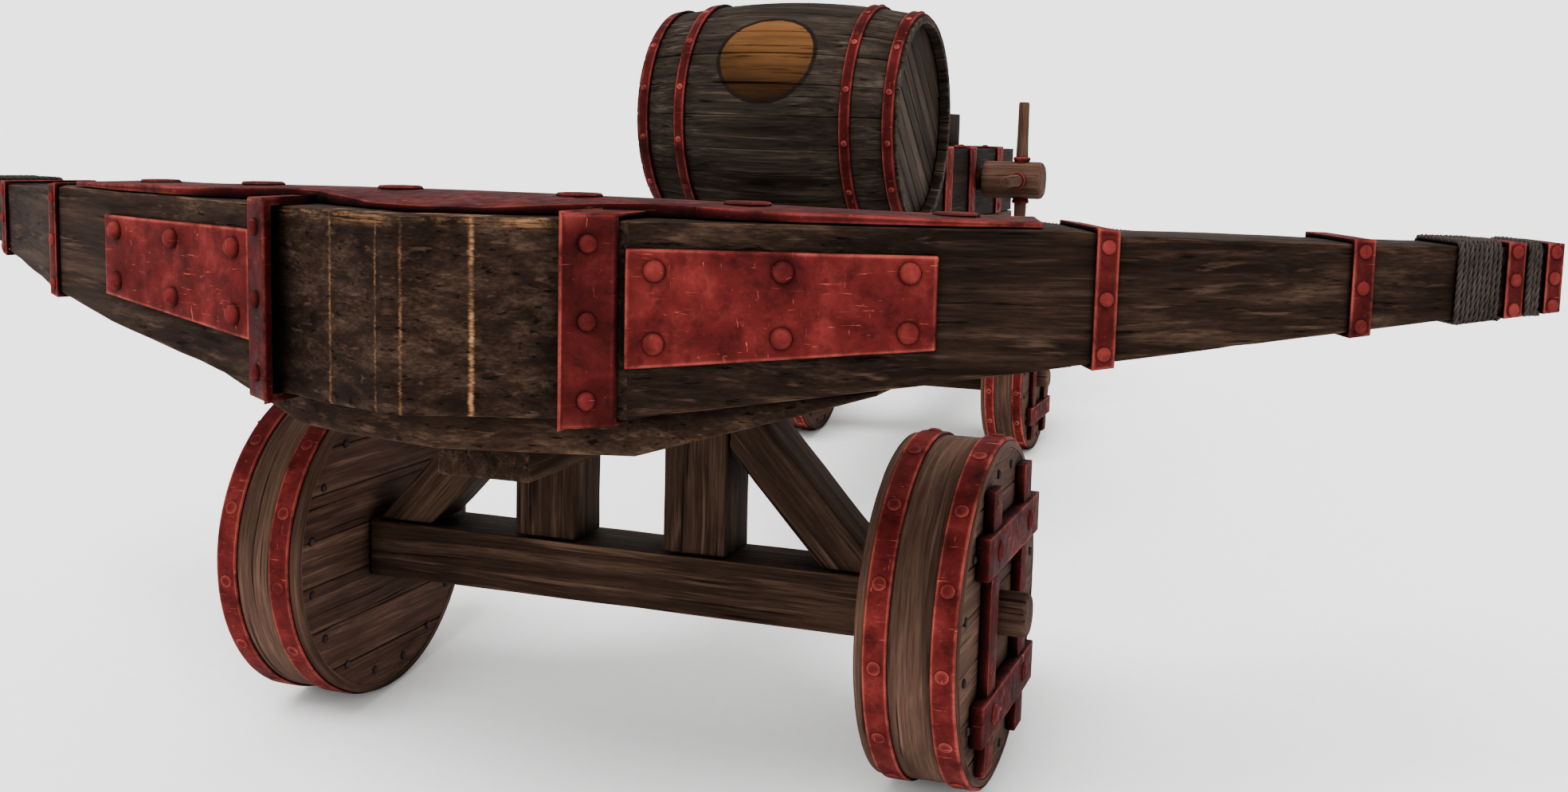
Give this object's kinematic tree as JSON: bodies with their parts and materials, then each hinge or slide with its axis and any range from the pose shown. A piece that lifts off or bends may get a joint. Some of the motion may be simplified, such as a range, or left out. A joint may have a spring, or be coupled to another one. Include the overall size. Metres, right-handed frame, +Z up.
{
  "type": "siege crossbow on wheels",
  "caption": "Giant timber bow on a wheeled carriage with iron straps, a barrel lying across the stock, and a windlass at the rear.",
  "frame": {"origin": "centre of the base of the bounding box, on the floor", "axes": "+X to the right across the bow and axles, +Y to the rear towards the windlass, +Z up"},
  "size_m": [4.581, 5.2242, 1.9176],
  "materials": {
    "dark_timber": "old dark timber with worn edges",
    "wheel_timber": "weathered brown planks",
    "barrel_timber": "grey-brown staves",
    "light_timber": "handled reddish wood",
    "red_iron": "worn red paint on hammered iron",
    "rope": "laid grey-brown rope",
    "string": "dark laid bowstring"
  },
  "bodies": {
    "carriage": {"arm_strap_left_1": "red_iron", "arm_strap_left_2": "red_iron", "arm_strap_left_3": "red_iron", "arm_strap_left_4": "red_iron", "arm_strap_right_1": "red_iron", "arm_strap_right_2": "red_iron", "arm_strap_right_3": "red_iron", "arm_strap_right_4": "red_iron", "bow_beam": "dark_timber", "bow_under_leaf": "dark_timber", "bowstring": "string", "front_axle_beam": "dark_timber", "front_brace_left": "dark_timber", "front_brace_right": "dark_timber", "front_plate_left": "red_iron", "front_plate_right": "red_iron", "front_post_left": "dark_timber", "front_post_right": "dark_timber", "nose_strap_left": "red_iron", "nose_strap_right": "red_iron", "rear_axle_beam": "dark_timber", "rear_post_left": "dark_timber", "rear_post_right": "dark_timber", "spine_beam": "dark_timber", "stock_beam": "dark_timber", "tip_winding_left_1": "rope", "tip_winding_left_2": "rope", "tip_winding_right_1": "rope", "tip_winding_right_2": "rope", "top_sheet": "red_iron", "winch_block": "dark_timber", "winch_block_band_1": "red_iron", "winch_block_band_2": "red_iron", "winch_block_band_3": "red_iron", "winch_stop_post": "dark_timber"},
    "front_wheel_right": {"front_wheel_right_disc": "wheel_timber", "front_wheel_right_band_inner": "red_iron", "front_wheel_right_band_outer": "red_iron", "front_wheel_right_iron_frame": "red_iron"},
    "front_wheel_left": {"front_wheel_left_disc": "wheel_timber", "front_wheel_left_band_inner": "red_iron", "front_wheel_left_band_outer": "red_iron", "front_wheel_left_iron_frame": "red_iron"},
    "rear_wheel_right": {"rear_wheel_right_disc": "wheel_timber", "rear_wheel_right_band_inner": "red_iron", "rear_wheel_right_band_outer": "red_iron", "rear_wheel_right_iron_frame": "red_iron"},
    "rear_wheel_left": {"rear_wheel_left_disc": "wheel_timber", "rear_wheel_left_band_inner": "red_iron", "rear_wheel_left_band_outer": "red_iron", "rear_wheel_left_iron_frame": "red_iron"},
    "windlass": {"winch_shaft": "light_timber", "winch_hub_right": "light_timber", "winch_hub_left": "light_timber"},
    "barrel": {"barrel_cask": "barrel_timber", "barrel_hoop_belly_left": "red_iron", "barrel_hoop_belly_right": "red_iron", "barrel_hoop_end_left": "red_iron", "barrel_hoop_end_right": "red_iron"}
  },
  "joints": [
    {"name": "front_wheel_right_spin", "type": "hinge", "parent": "carriage", "child": "front_wheel_right", "pos_m": [0, -1.48107, 0.45], "axis": [1, 0, 0], "continuous": true},
    {"name": "front_wheel_left_spin", "type": "hinge", "parent": "carriage", "child": "front_wheel_left", "pos_m": [0, -1.48107, 0.45], "axis": [1, 0, 0], "continuous": true},
    {"name": "rear_wheel_right_spin", "type": "hinge", "parent": "carriage", "child": "rear_wheel_right", "pos_m": [0, 1.35346, 0.30465], "axis": [1, 0, 0], "continuous": true},
    {"name": "rear_wheel_left_spin", "type": "hinge", "parent": "carriage", "child": "rear_wheel_left", "pos_m": [0, 1.35346, 0.30465], "axis": [1, 0, 0], "continuous": true},
    {"name": "windlass_spin", "type": "hinge", "parent": "carriage", "child": "windlass", "pos_m": [0, 1.86786, 1.0586], "axis": [1, 0, 0], "continuous": true},
    {"name": "barrel_shot", "type": "slide", "parent": "carriage", "child": "barrel", "axis": [0, -0.9924, 0.1226], "range_m": [0, 1.1]}
  ]
}
